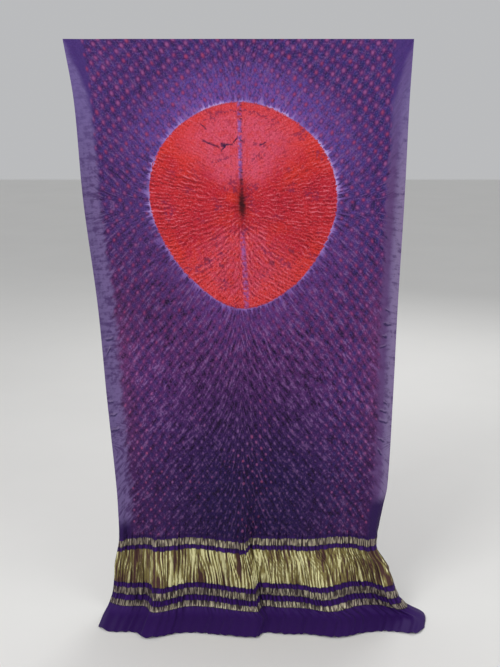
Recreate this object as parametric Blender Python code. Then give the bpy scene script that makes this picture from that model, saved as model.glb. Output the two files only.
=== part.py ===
"""A tie-dyed bandhani cloth, hung from its top edge with its woven gold end gathered above the floor.

The cloth is one woven length, so it is one thin solid. It hangs flat at the top, narrows to a
gathered waist at the head of the gold bands, flares in deep soft folds down to the floor, and its
plain end turns forward and lies there. Metres, +Z up, +X to the right, and the cloth faces -Y.
The origin is the middle of the top edge.
"""

import math
from collections import namedtuple

import bmesh
import bpy

# ---------------------------------------------------------------- driving sizes, in metres
CLOTH_THICKNESS = 0.0018
CLOTH_WIDTH = 0.95

# The hang: the drop to the cloth lying on the floor, the quarter turn into it, and the end beyond.
FLOOR_DROP = 1.640
TURN_RADIUS = 0.040
END_ON_FLOOR = 0.075

# The end's two corners lie rounded back over this share of the half width.
CORNER_SHARE = 0.10
CORNER_SET_BACK = 0.020

# The gathers at the head of the gold bands, and how far their widths differ.
GATHERS = 38
GATHER_SPREAD = 0.26
GATHER_WANDER = 0.16

# The tied disc stands a little proud of the field, with its knot at the middle.
DISC_DROP = 0.430
DISC_RADIUS = 0.265
DISC_RISE = 0.012
KNOT_RADIUS = 0.050
KNOT_DEPTH = 0.007

# Outside a crease near each edge the plain margin leans back from the field.
MARGIN_LEAN = 0.10

# On the floor the folds open out: this share of a fold's depth still stands up as a ridge, which
# dies out this far from the turn.
RIDGE_SHARE = 0.30
RIDGE_RUN = 0.12

# Where a fold is steep, the cloth still steps across by this share of its woven width.
LEAST_STEP = 0.35

# ---------------------------------------------------------------- tables
# "run" is always the distance down the cloth from its top edge, along the cloth itself, and
# "across" runs from -1 at the left edge to +1 at the right edge.
Edges = namedtuple("Edges", "name run left right")
Crease = namedtuple("Crease", "name run across")
Fold = namedtuple("Fold", "name across left_flank right_flank depths")
Gather = namedtuple("Gather", "name run depth")
Stretch = namedtuple("Stretch", "name run rows")

# Where the cloth's two edges hang: their x at each level.
OUTLINE = (
    Edges("top edge", 0.000, -0.450, 0.450),
    Edges("above disc", 0.150, -0.431, 0.447),
    Edges("disc widest", 0.410, -0.419, 0.445),
    Edges("below disc", 0.700, -0.392, 0.439),
    Edges("middle field", 0.980, -0.376, 0.436),
    Edges("lower field", 1.240, -0.358, 0.430),
    Edges("above waist", 1.305, -0.355, 0.419),
    Edges("waist", 1.385, -0.352, 0.406),
    Edges("first stripe", 1.436, -0.361, 0.406),
    Edges("wide band", 1.480, -0.371, 0.435),
    Edges("second stripe", 1.575, -0.381, 0.470),
    Edges("third stripe", 1.612, -0.392, 0.494),
    Edges("floor turn", 1.658, -0.407, 0.548),
    Edges("end hem", 1.740, -0.414, 0.538),
)

# The crease that sets off each plain margin, the same on both sides.
MARGIN_CREASE = (
    Crease("held corner", 0.000, 1.000),
    Crease("meets the field", 0.190, 0.900),
    Crease("waist", 1.400, 0.900),
    Crease("end hem", 1.740, 0.940),
)

# The main folds. A flank is how far a fold runs out to that side, as a share of the half width,
# and the depths say how far its crest stands forward at each of FOLD_LEVELS.
FOLD_LEVELS = (0.00, 0.43, 1.00, 1.28, 1.40, 1.56, 1.66, 1.74)
FOLDS = (
    Fold("left roll", -1.02, 0.10, 0.085, (0.004, 0.002, 0.006, 0.018, 0.040, 0.004, 0.000, 0.000)),
    Fold("left edge", -0.87, 0.12, 0.115, (-0.004, -0.002, 0.002, 0.004, 0.010, 0.013, 0.010, 0.006)),
    Fold("left fold", -0.68, 0.07, 0.170, (0.003, 0.000, 0.004, 0.010, 0.022, 0.048, 0.050, 0.040)),
    Fold("left of middle", -0.28, 0.16, 0.180, (0.000, 0.003, 0.004, 0.007, 0.010, 0.012, 0.014, 0.012)),
    Fold("middle fold", -0.035, 0.20, 0.055, (0.003, 0.003, 0.009, 0.020, 0.038, 0.045, 0.044, 0.034)),
    Fold("right of middle", 0.17, 0.12, 0.160, (0.001, 0.004, 0.006, 0.010, 0.016, 0.018, 0.022, 0.018)),
    Fold("right fold", 0.46, 0.15, 0.160, (0.002, 0.000, 0.005, 0.010, 0.018, 0.044, 0.046, 0.036)),
    Fold("right edge", 0.94, 0.11, 0.070, (-0.003, -0.002, 0.003, 0.009, 0.024, 0.038, 0.030, 0.016)),
)

# How deep the small gathers run at each level, from crest to trough.
GATHER_DEPTHS = (
    Gather("top edge", 0.000, 0.0006),
    Gather("field", 1.000, 0.0012),
    Gather("lower field", 1.280, 0.0022),
    Gather("waist", 1.400, 0.0062),
    Gather("wide band", 1.480, 0.0056),
    Gather("second stripe", 1.575, 0.0046),
    Gather("floor turn", 1.660, 0.0052),
    Gather("end hem", 1.740, 0.0046),
)

# Where each stretch of the cloth starts, and its rows of faces.
STRETCHES = (
    Stretch("heading", 0.000, 3),
    Stretch("disc", 0.150, 12),
    Stretch("field", 0.710, 7),
    Stretch("waist", 1.320, 2),
    Stretch("first stripe", 1.400, 1),
    Stretch("first gap", 1.423, 1),
    Stretch("wide band", 1.436, 2),
    Stretch("second gap", 1.546, 1),
    Stretch("second stripe", 1.565, 1),
    Stretch("plain line", 1.587, 1),
    Stretch("third stripe", 1.604, 1),
    Stretch("turn", 1.627, 2),
    Stretch("end on floor", 1.664, 2),
)
GOLD_STRETCHES = ("first stripe", "wide band", "second stripe", "third stripe")


def curve_through(stations, values, at):
    """Reads a smooth curve through (station, value) pairs at one station."""
    last = len(stations) - 1
    at = min(max(at, stations[0]), stations[last])
    i = max(k for k in range(last) if stations[k] <= at)
    span = stations[i + 1] - stations[i]
    t = (at - stations[i]) / span

    def slope(k):
        low, high = max(k - 1, 0), min(k + 1, last)
        return (values[high] - values[low]) / (stations[high] - stations[low])

    start = (2 * t**3 - 3 * t**2 + 1) * values[i] + (t**3 - 2 * t**2 + t) * span * slope(i)
    end = (3 * t**2 - 2 * t**3) * values[i + 1] + (t**3 - t**2) * span * slope(i + 1)
    return start + end


def column_at(table, column, run):
    """Reads one named column of a table at a distance down the cloth."""
    return curve_through([row.run for row in table], [getattr(row, column) for row in table], run)


def side_profile(run):
    """Reach forward, drop and turn of the cloth's own line, seen from the side.

    It hangs straight, turns forward through a quarter round and lies flat on the floor.
    """
    turn_starts = FLOOR_DROP - TURN_RADIUS
    turn = min(max((run - turn_starts) / TURN_RADIUS, 0.0), math.pi / 2)
    on_floor = max(run - turn_starts - TURN_RADIUS * math.pi / 2, 0.0)
    reach = TURN_RADIUS * (1 - math.cos(turn)) + on_floor
    drop = min(run, turn_starts) + TURN_RADIUS * math.sin(turn)
    return reach, drop, turn


def main_folds(across, run):
    """How far the main folds stand forward of the hanging plane."""
    depth = 0.0
    for fold in FOLDS:
        flank = fold.left_flank if across < fold.across else fold.right_flank
        crest = curve_through(FOLD_LEVELS, fold.depths, run)
        depth += crest * math.exp(-(((across - fold.across) / flank) ** 2))
    return depth


def disc_relief(x, run):
    """The tied disc's shallow swell, drawn in to a pinched knot at its middle."""
    radius = math.hypot(x, run - DISC_DROP)
    swell = DISC_RISE * max(1 - (radius / DISC_RADIUS) ** 2, 0.0) ** 1.5
    return swell - KNOT_DEPTH * math.exp(-((radius / KNOT_RADIUS) ** 2))


def margin_lean(across, run):
    """How far a plain margin leans back outside its crease."""
    return MARGIN_LEAN * max(abs(across) - column_at(MARGIN_CREASE, "across", run), 0.0)


def gather_lines():
    """Places across the cloth of each gather's crest and trough, unevenly spaced, from -1 to +1."""
    widths = []
    for i in range(2 * GATHERS):
        quick, slow = math.sin(1.7 * i), math.sin(0.61 * i + 1.3)
        widths.append(1 + GATHER_SPREAD * quick + GATHER_WANDER * slow)
    whole = sum(widths)
    lines = [-1.0]
    for width in widths:
        lines.append(lines[-1] + 2 * width / whole)
    return lines


def gather_relief(column, run):
    """Crests on the odd lines and troughs on the even ones, each a little deeper or shallower."""
    uneven = 0.75 + 0.25 * math.sin(2.1 * column + 3.0 * run)
    return column_at(GATHER_DEPTHS, "depth", run) * uneven if column % 2 else 0.0


def cloth_length():
    """The cloth's length along its own line, from its top edge to its end hem."""
    return FLOOR_DROP - TURN_RADIUS + TURN_RADIUS * math.pi / 2 + END_ON_FLOOR


def stretches():
    """Each stretch of the cloth's length with the place where it ends."""
    ends = [stretch.run for stretch in STRETCHES[1:]] + [cloth_length()]
    return list(zip(STRETCHES, ends))


def row_places():
    """Distances down the cloth at which the rows of faces meet."""
    places = []
    for stretch, end in stretches():
        step = (end - stretch.run) / stretch.rows
        places += [stretch.run + step * k for k in range(stretch.rows)]
    return places + [cloth_length()]


def row_points(run, lines):
    """The points of one row across the cloth, its folds taking up the woven width."""
    left = column_at(OUTLINE, "left", run)
    right = column_at(OUTLINE, "right", run)
    reach, drop, turn = side_profile(run)
    folds = [main_folds(across, run) for across in lines]
    small = [gather_relief(column, run) for column in range(len(lines))]
    steps = []
    for k in range(len(lines) - 1):
        woven = CLOTH_WIDTH * (lines[k + 1] - lines[k]) / 2
        rise = folds[k + 1] + small[k + 1] - folds[k] - small[k]
        steps.append(math.sqrt(max(woven**2 - rise**2, (LEAST_STEP * woven) ** 2)))
    scale = (right - left) / sum(steps)
    opening = max(1 - ((run - FLOOR_DROP) / RIDGE_RUN) ** 2, 0.0)
    points, x = [], left
    for k, across in enumerate(lines):
        relief = small[k] + disc_relief(x - (left + right) / 2, run)
        ridge = RIDGE_SHARE * max(folds[k], 0.0) * opening * math.sin(turn) ** 2
        corner = max(abs(across) - 1 + CORNER_SHARE, 0.0) / CORNER_SHARE
        set_back = CORNER_SET_BACK * corner**2 * math.sin(turn)
        y = -folds[k] - reach - relief * math.cos(turn) + margin_lean(across, run) + set_back
        z = -drop + relief * math.sin(turn) + ridge
        points.append((x, y, z))
        if k < len(steps):
            x += steps[k] * scale
    return points


def dye(name, colour, roughness, metallic=0.0):
    """A Principled material."""
    material = bpy.data.materials.new(name)
    material.use_nodes = True
    shader = material.node_tree.nodes["Principled BSDF"]
    shader.inputs["Base Color"].default_value = (*colour, 1.0)
    shader.inputs["Roughness"].default_value = roughness
    shader.inputs["Metallic"].default_value = metallic
    return material


def is_gold(run):
    """Whether a distance down the cloth lies in a woven gold band."""
    return any(item.run <= run < end and item.name in GOLD_STRETCHES for item, end in stretches())


def bandhani_cloth():
    """The whole cloth: a sheet of rows and gather lines, given its thickness."""
    lines = gather_lines()
    places = row_places()
    bm = bmesh.new()
    grid = [[bm.verts.new(point) for point in row_points(run, lines)] for run in places]
    for r in range(len(places) - 1):
        for c in range(len(lines) - 1):
            corners = (grid[r][c], grid[r + 1][c], grid[r + 1][c + 1], grid[r][c + 1])
            face = bm.faces.new(corners)
            face.material_index = int(is_gold((places[r] + places[r + 1]) / 2))
            face.smooth = True
    mesh = bpy.data.meshes.new("bandhani_cloth")
    bm.to_mesh(mesh)
    bm.free()
    mesh.materials.append(dye("violet_dyed_silk", (0.075, 0.027, 0.120), 0.62))
    mesh.materials.append(dye("woven_gold", (0.42, 0.36, 0.15), 0.38, 0.75))
    cloth = bpy.data.objects.new("bandhani_cloth", mesh)
    bpy.context.scene.collection.objects.link(cloth)
    thickness = cloth.modifiers.new("cloth_thickness", "SOLIDIFY")
    thickness.thickness = CLOTH_THICKNESS
    thickness.offset = 0.0
    thickness.use_rim = True
    return cloth


def clear_scene():
    """Removes what the scene starts with."""
    for item in list(bpy.data.objects):
        bpy.data.objects.remove(item)


clear_scene()
bandhani_cloth()
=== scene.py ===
"""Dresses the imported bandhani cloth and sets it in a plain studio.

The cloth is one crinkled sheet of tie-dyed silk, laid over the folds of its solid. It has a dotted
violet field, a large red tied disc, plain margins, and woven gold bands gathered at its lower end.
Metres, +Z up, +X to the right, and the cloth faces -Y; the origin is the middle of its top edge.
"""

from __future__ import annotations

import logging
import math
from dataclasses import dataclass
from enum import Enum
from typing import NamedTuple, Sequence, Union

import bpy
import numpy as np
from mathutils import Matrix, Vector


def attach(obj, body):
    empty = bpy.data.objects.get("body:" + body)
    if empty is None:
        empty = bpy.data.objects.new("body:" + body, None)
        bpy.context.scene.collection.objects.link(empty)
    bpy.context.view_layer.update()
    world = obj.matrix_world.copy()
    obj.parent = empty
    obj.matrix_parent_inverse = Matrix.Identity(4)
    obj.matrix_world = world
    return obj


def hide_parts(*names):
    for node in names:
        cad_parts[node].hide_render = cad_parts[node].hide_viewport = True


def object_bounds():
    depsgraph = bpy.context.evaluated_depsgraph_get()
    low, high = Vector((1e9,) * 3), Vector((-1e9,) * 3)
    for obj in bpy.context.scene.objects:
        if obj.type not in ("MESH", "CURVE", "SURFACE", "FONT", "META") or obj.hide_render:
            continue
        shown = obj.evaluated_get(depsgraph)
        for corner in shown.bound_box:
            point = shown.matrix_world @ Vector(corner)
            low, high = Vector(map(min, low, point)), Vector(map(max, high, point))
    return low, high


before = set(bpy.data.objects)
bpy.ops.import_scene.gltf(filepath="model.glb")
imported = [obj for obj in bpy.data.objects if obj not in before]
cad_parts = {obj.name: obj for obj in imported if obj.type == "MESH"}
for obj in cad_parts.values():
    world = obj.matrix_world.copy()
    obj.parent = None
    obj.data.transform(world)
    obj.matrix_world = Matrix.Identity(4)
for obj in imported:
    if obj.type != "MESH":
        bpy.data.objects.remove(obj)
CAD_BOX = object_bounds()

log = logging.getLogger("bandhani_cloth")
Array = np.ndarray
Colour = tuple[float, float, float]
TURN = 2 * math.pi


# ---------------------------------------------------------------- curves and unevenness
def curve_through(stations: Sequence[float], values: Sequence[float], at: Array) -> Array:
    """Reads a smooth curve through (station, value) pairs.

    Args:
        stations: Where the values are given, rising.
        values: The values there.
        at: Where the curve is read; past either end it keeps the end's value.

    Returns:
        The curve's value at each place.
    """
    s, v = np.asarray(stations, float), np.asarray(values, float)
    last = len(s) - 1
    low, high = np.maximum(np.arange(last + 1) - 1, 0), np.minimum(np.arange(last + 1) + 1, last)
    slope = (v[high] - v[low]) / (s[high] - s[low])
    at = np.clip(at, s[0], s[-1])
    i = np.clip(np.searchsorted(s, at, side="right") - 1, 0, last - 1)
    span = s[i + 1] - s[i]
    t = (at - s[i]) / span
    start = (2 * t**3 - 3 * t**2 + 1) * v[i] + (t**3 - 2 * t**2 + t) * span * slope[i]
    end = (3 * t**2 - 2 * t**3) * v[i + 1] + (t**3 - t**2) * span * slope[i + 1]
    return start + end


def ease(value: Array, low: float, high: float) -> Array:
    """Rises smoothly from 0 at low to 1 at high.

    Args:
        value: What is read.
        low: Where the rise starts.
        high: Where it ends; it may be less than low, for a fall.

    Returns:
        The share, from 0 to 1.
    """
    t = np.clip((value - low) / (high - low), 0, 1)
    return t * t * (3 - 2 * t)


def hump(value: Array, width: float) -> Array:
    """A soft hump of height 1 at 0, which dies out over the given width."""
    return np.exp(-((value / width) ** 2))


class Grain:
    """Smooth unevenness that is the same on every run: a seeded table, read between its points."""

    SIDE = 1024

    def __init__(self, seed: int) -> None:
        """Fills the table from the seed."""
        self.table = np.random.default_rng(seed).random((self.SIDE, self.SIDE))

    def at(self, x: Array, y: Array) -> Array:
        """Reads the unevenness.

        Args:
            x: Place along the first way, in cells.
            y: Place along the second way, in cells.

        Returns:
            Values from 0 to 1.
        """
        xi, yi = np.floor(x).astype(int), np.floor(y).astype(int)
        fx, fy = x - xi, y - yi
        fx, fy = fx * fx * (3 - 2 * fx), fy * fy * (3 - 2 * fy)
        x0, x1, y0, y1 = (cell % self.SIDE for cell in (xi, xi + 1, yi, yi + 1))
        near = self.table[y0, x0] * (1 - fx) + self.table[y0, x1] * fx
        far = self.table[y1, x0] * (1 - fx) + self.table[y1, x1] * fx
        return near * (1 - fy) + far * fy


# ---------------------------------------------------------------- rows of the tables
# "run" is the distance down the cloth from its top edge, and "across" goes from -1 at the left
# edge to +1 at the right edge.
class Edges(NamedTuple):
    """Where the cloth's two edges hang: their x at one level."""

    name: str
    run: float
    left: float
    right: float


class Level(NamedTuple):
    """One value at one level of the cloth."""

    name: str
    run: float
    value: float


class Fold(NamedTuple):
    """A main fold: its crest, its two flanks and how far it stands forward at each level."""

    name: str
    across: float
    left_flank: float
    right_flank: float
    depths: tuple[float, ...]


class Stretch(NamedTuple):
    """A stretch of the cloth's length: where it starts, its rows of faces, and its column count."""

    name: str
    run: float
    rows: int
    columns: int


class Band(NamedTuple):
    """A woven gold band: from where to where it runs."""

    name: str
    start: float
    end: float


class Wrinkle(NamedTuple):
    """A short crease in a margin: its place, reach, slant, depth, bend and the breadth of its line."""

    name: str
    across: float
    run: float
    reach: float
    slant: float
    depth: float
    bend: float = -6.0
    breadth: float = 0.0036


class Stain(NamedTuple):
    """A mark in the disc: its middle on the flat cloth, its reach, breadth, slant and bend."""

    name: str
    across: float
    run: float
    reach: float
    breadth: float
    slant: float
    bend: float = 0.0


def level_at(table: Sequence[Level], run: Array) -> Array:
    """Reads a table of levels as a smooth curve."""
    return curve_through([row.run for row in table], [row.value for row in table], run)


# ---------------------------------------------------------------- the hang
@dataclass
class Hang:
    """The cloth's hang, as its solid has it: outline, main folds, disc, margins and gathers."""

    width: float = 0.95
    floor_drop: float = 1.640
    turn_radius: float = 0.040
    end_on_floor: float = 0.075
    corner_share: float = 0.10
    corner_set_back: float = 0.020
    gathers: int = 38
    gather_spread: float = 0.26
    gather_wander: float = 0.16
    disc_drop: float = 0.430
    disc_radius: float = 0.265
    disc_rise: float = 0.012
    knot_radius: float = 0.050
    knot_depth: float = 0.007
    lean: float = 0.10
    ridge_share: float = 0.30
    ridge_run: float = 0.12
    least_step: float = 0.35
    outline: tuple[Edges, ...] = (
        Edges("top edge", 0.000, -0.450, 0.450),
        Edges("above disc", 0.150, -0.431, 0.447),
        Edges("disc widest", 0.410, -0.419, 0.445),
        Edges("below disc", 0.700, -0.392, 0.439),
        Edges("middle field", 0.980, -0.376, 0.436),
        Edges("lower field", 1.240, -0.358, 0.430),
        Edges("above waist", 1.305, -0.355, 0.419),
        Edges("waist", 1.385, -0.352, 0.406),
        Edges("first stripe", 1.436, -0.361, 0.406),
        Edges("wide band", 1.480, -0.371, 0.435),
        Edges("second stripe", 1.575, -0.381, 0.470),
        Edges("third stripe", 1.612, -0.392, 0.494),
        Edges("floor turn", 1.658, -0.407, 0.548),
        Edges("end hem", 1.740, -0.414, 0.538),
    )
    margin_crease: tuple[Level, ...] = (
        Level("held corner", 0.000, 1.000),
        Level("meets the field", 0.190, 0.900),
        Level("waist", 1.400, 0.900),
        Level("end hem", 1.740, 0.940),
    )
    fold_levels: tuple[float, ...] = (0.00, 0.43, 1.00, 1.28, 1.40, 1.56, 1.66, 1.74)
    folds: tuple[Fold, ...] = (
        Fold("left roll", -1.02, 0.10, 0.085, (0.004, 0.002, 0.006, 0.018, 0.040, 0.004, 0, 0)),
        Fold("left edge", -0.87, 0.12, 0.115, (-0.004, -0.002, 0.002, 0.004, 0.01, 0.013, 0.01, 0.006)),
        Fold("left fold", -0.68, 0.07, 0.17, (0.003, 0, 0.004, 0.010, 0.022, 0.048, 0.050, 0.040)),
        Fold("left of middle", -0.28, 0.16, 0.18, (0, 0.003, 0.004, 0.007, 0.010, 0.012, 0.014, 0.012)),
        Fold("middle fold", -0.035, 0.2, 0.055, (0.003, 0.003, 0.009, 0.02, 0.038, 0.045, 0.044, 0.034)),
        Fold("right of middle", 0.17, 0.12, 0.16, (0.001, 0.004, 0.006, 0.01, 0.016, 0.018, 0.022, 0.018)),
        Fold("right fold", 0.46, 0.15, 0.16, (0.002, 0, 0.005, 0.010, 0.018, 0.044, 0.046, 0.036)),
        Fold("right edge", 0.94, 0.11, 0.07, (-0.003, -0.002, 0.003, 0.009, 0.024, 0.038, 0.030, 0.016)),
    )
    gather_depths: tuple[Level, ...] = (
        Level("top edge", 0.000, 0.0006),
        Level("field", 1.000, 0.0012),
        Level("lower field", 1.280, 0.0022),
        Level("waist", 1.400, 0.0062),
        Level("wide band", 1.480, 0.0056),
        Level("second stripe", 1.575, 0.0046),
        Level("floor turn", 1.660, 0.0052),
        Level("end hem", 1.740, 0.0046),
    )

    @property
    def length(self) -> float:
        """The cloth's length along its own line."""
        return self.floor_drop + self.turn_radius * (math.pi / 2 - 1) + self.end_on_floor

    def edges_at(self, run: Array) -> tuple[Array, Array]:
        """Where the two edges hang.

        Args:
            run: Distance down the cloth.

        Returns:
            The x of the left edge, and that of the right one.
        """
        runs = [row.run for row in self.outline]
        left = curve_through(runs, [row.left for row in self.outline], run)
        return left, curve_through(runs, [row.right for row in self.outline], run)

    def side_profile(self, run: Array) -> tuple[Array, Array, Array]:
        """The cloth's own line, seen from the side.

        Args:
            run: Distance down the cloth.

        Returns:
            How far it reaches forward, how far it has dropped, and its turn in radians.
        """
        starts = self.floor_drop - self.turn_radius
        turn = np.clip((run - starts) / self.turn_radius, 0, math.pi / 2)
        on_floor = np.maximum(run - starts - self.turn_radius * math.pi / 2, 0)
        reach = self.turn_radius * (1 - np.cos(turn)) + on_floor
        return reach, np.minimum(run, starts) + self.turn_radius * np.sin(turn), turn

    def main_folds(self, across: Array, run: Array) -> Array:
        """How far the main folds stand forward of the hanging plane.

        Args:
            across: Place across the cloth, from -1 to +1.
            run: Distance down it.

        Returns:
            The distance in metres.
        """
        depth = np.zeros(np.broadcast(across, run).shape)
        for fold in self.folds:
            flank = np.where(across < fold.across, fold.left_flank, fold.right_flank)
            crest = curve_through(self.fold_levels, fold.depths, run)
            depth = depth + crest * np.exp(-(((across - fold.across) / flank) ** 2))
        return depth

    def disc_relief(self, x: Array, run: Array) -> Array:
        """The tied disc's shallow swell, drawn in to a knot at its middle.

        Args:
            x: Place to the right of the cloth's middle line.
            run: Distance down the cloth.

        Returns:
            The relief in metres.
        """
        radius = np.hypot(x, run - self.disc_drop)
        swell = self.disc_rise * np.maximum(1 - (radius / self.disc_radius) ** 2, 0) ** 1.5
        return swell - self.knot_depth * hump(radius, self.knot_radius)

    def gather_lines(self) -> Array:
        """Where each gather's trough and crest lie, by turns.

        Returns:
            Places across the cloth, from -1 to +1.
        """
        i = np.arange(2 * self.gathers)
        quick, slow = np.sin(1.7 * i), np.sin(0.61 * i + 1.3)
        widths = 1 + self.gather_spread * quick + self.gather_wander * slow
        return np.concatenate([[-1.0], -1 + 2 * np.cumsum(widths) / widths.sum()])

    def gather_relief(self, place: Array, run: Array) -> Array:
        """Soft crests at the odd places and troughs at the even ones.

        Args:
            place: Place across, counted in gather lines.
            run: Distance down the cloth.

        Returns:
            The relief in metres.
        """
        crest = 2 * np.floor(place / 2) + 1
        uneven = 0.75 + 0.25 * np.sin(2.1 * crest + 3.0 * run)
        return level_at(self.gather_depths, run) * uneven * (0.5 - 0.5 * np.cos(math.pi * place))

    def line_places(self, run: Array, lines: Array) -> Array:
        """The x of every gather line at each level, the folds taking up the woven width.

        Args:
            run: Distances down the cloth, as a column.
            lines: Places of the gather lines across it.

        Returns:
            One row of x for each level.
        """
        left, right = self.edges_at(run)
        place = np.arange(len(lines))[None, :]
        stand = self.main_folds(lines[None, :], run) + self.gather_relief(place, run)
        woven = self.width * np.diff(lines)[None, :] / 2
        steps = np.sqrt(np.maximum(woven**2 - np.diff(stand, axis=1) ** 2, (self.least_step * woven) ** 2))
        along = np.concatenate([np.zeros((len(run), 1)), np.cumsum(steps, axis=1)], axis=1)
        return left + along * (right - left) / along[:, -1:]

    def lay(self, across: Array, run: Array) -> tuple[Array, Array]:
        """Lays a grid of cloth over the folds.

        Args:
            across: Places across the cloth, from -1 to +1.
            run: Distances down it.

        Returns:
            The grid's points, by row and column, and their x in the hanging plane.
        """
        lines, run = self.gather_lines(), run[:, None]
        line_x = self.line_places(run, lines)
        x = np.stack([np.interp(across, lines, row) for row in line_x])
        place = np.interp(across, lines, np.arange(len(lines)))[None, :]
        across = across[None, :]
        left, right = self.edges_at(run)
        reach, drop, turn = self.side_profile(run)
        folds = self.main_folds(across, run)
        relief = self.gather_relief(place, run) + self.disc_relief(x - (left + right) / 2, run)
        opening = np.maximum(1 - ((run - self.floor_drop) / self.ridge_run) ** 2, 0)
        ridge = self.ridge_share * np.maximum(folds, 0) * opening * np.sin(turn) ** 2
        corner = np.maximum(np.abs(across) - 1 + self.corner_share, 0) / self.corner_share
        set_back = self.corner_set_back * corner**2 * np.sin(turn)
        margin = np.maximum(np.abs(across) - level_at(self.margin_crease, run), 0)
        y = -folds - reach - relief * np.cos(turn) + self.lean * margin + set_back
        z = -drop + relief * np.sin(turn) + ridge
        return np.stack([x, y, z], axis=2), x


# ---------------------------------------------------------------- the tied pattern
@dataclass
class TiedDisc:
    """The red disc, resist-tied round a short pinched line at its middle."""

    middle_x: float = 0.005
    middle_run: float = 0.426
    vein_start: float = 0.030
    vein_power: float = 0.75
    vein_reach: float = 0.290
    vein_bend: float = 0.92
    field_slope: float = 1.33
    field_level: float = 0.10
    crease_rise: float = 0.158
    crease_reach: float = 0.043
    least_rise: float = 0.012
    radius_step: int = 30
    radii: tuple[float, ...] = (
        0.257, 0.264, 0.263, 0.270, 0.266, 0.259, 0.242, 0.229, 0.244, 0.281, 0.263, 0.249
    )

    def edge_distance(self, x: Array, run: Array) -> Array:
        """How far each place is from the disc's edge, whose radii go round from the right.

        Args:
            x: Place in the hanging plane.
            run: Distance down the cloth.

        Returns:
            The distance in metres; inside the disc it is negative.
        """
        side, up = x - self.middle_x, self.middle_run - run
        around = np.degrees(np.arctan2(up, side)) % 360
        degrees = self.radius_step * np.arange(-2, len(self.radii) + 3)
        radii = self.radii[-2:] + self.radii + self.radii[:3]
        return np.hypot(side, up) - curve_through(degrees, radii, around)

    def disc_lines(self, side: Array, up: Array) -> tuple[Array, Array]:
        """The ridge lines inside the disc: they leave the crease as veins leave a leaf's midrib.

        Args:
            side: Distance right of the knot.
            up: Distance above it.

        Returns:
            A label that is even along each line, and the distance over which it changes by 1.
        """
        away, power = np.abs(side) + self.vein_start, self.vein_power
        left = 1 - np.minimum((up / self.vein_reach) ** 2, self.vein_bend)
        label = up / np.sqrt(left) / away**power
        spread = away**power / np.sqrt(left**-3 + (power * up / away) ** 2 / left)
        return label, spread

    def field_lines(self, side: Array, up: Array) -> tuple[Array, Array]:
        """The ridge lines outside the disc: level beside the knot, and slanting above and below.

        Args:
            side: Distance right of the knot.
            up: Distance above it.

        Returns:
            A label that is even along each line, and the distance over which it changes by 1.
        """
        away, rise, level = np.abs(side), np.maximum(np.abs(up), self.least_rise), self.field_level
        root, fall = np.hypot(rise, level), np.exp(-away / self.crease_reach)
        label = root + level * np.log(rise / (root + level))
        label = label - self.field_slope * away - self.crease_rise * (1 - fall)
        steep = self.field_slope + self.crease_rise / self.crease_reach * fall
        return label, 1 / np.hypot(root / rise, steep)

    def field_lean(self, side: Array, up: Array) -> Array:
        """How level the lines outside the disc run: 0 upright and 1 level, negative where they fall.

        Args:
            side: Distance right of the knot.
            up: Distance above it.

        Returns:
            The level share of a line's own direction.
        """
        rise = np.maximum(np.abs(up), self.least_rise)
        _, spread = self.field_lines(side, up)
        return np.sign(side * up) * np.hypot(rise, self.field_level) / rise * spread


@dataclass
class Dots:
    """The tied dots of the field: slanting lines of knots, mirrored about the crease."""

    column_pitch: float = 0.0155
    row_pitch: float = 0.0350
    upper_step: float = 0.0131
    lower_step: float = 0.0174
    step_start: float = 0.05
    step_end: float = 1.0
    corner_reach: tuple[float, float] = (0.30, 0.44)
    corner_run: tuple[float, float] = (0.42, 0.22)
    disc_gap: tuple[float, float] = (0.002, 0.012)
    last_run: tuple[float, float] = (1.391, 1.380)
    last_side: tuple[float, float] = (0.430, 0.422)
    first_row: float = 0.105
    wander: float = 0.0035
    wander_cell: float = 0.070
    stray_down: float = 0.0032
    stray_across: float = 0.0026
    crease: tuple[Level, ...] = (
        Level("top edge", 0.000, -0.016),
        Level("disc top", 0.156, -0.016),
        Level("knot", 0.430, -0.018),
        Level("disc bottom", 0.720, 0.001),
        Level("waist", 1.390, 0.004),
    )

    def grid(self, across: Array, run: Array, half_width: float) -> tuple[Array, Array]:
        """Each place, counted in dots away from the crease and down.

        Args:
            across: Place across the cloth, from -1 to +1.
            run: Distance down it.
            half_width: Half of the woven width.

        Returns:
            The count of columns and the count of rows; dots are at the whole numbers.
        """
        sway = Grain(11)
        cells = across * half_width / self.wander_cell, run / self.wander_cell
        push = 2 * self.wander * (sway.at(cells[0] + 40, cells[1]) - 0.5)
        drop = 2 * self.wander * (sway.at(cells[0] + 90, cells[1] + 50) - 0.5)
        away = np.abs((across - level_at(self.crease, run)) * half_width)
        column = (away + push * ease(away, 0, 0.05)) / self.column_pitch
        return column, (run + drop - self.first_row - self.steps(run) * column) / self.row_pitch

    def steps(self, run: Array) -> Array:
        """How much lower each next column's dots lie.

        Args:
            run: Distance down the cloth.

        Returns:
            The step in metres.
        """
        span = self.step_end - self.step_start
        along = np.clip(run - self.step_start, 0, span)
        return self.upper_step + (self.lower_step - self.upper_step) * along / span


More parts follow.
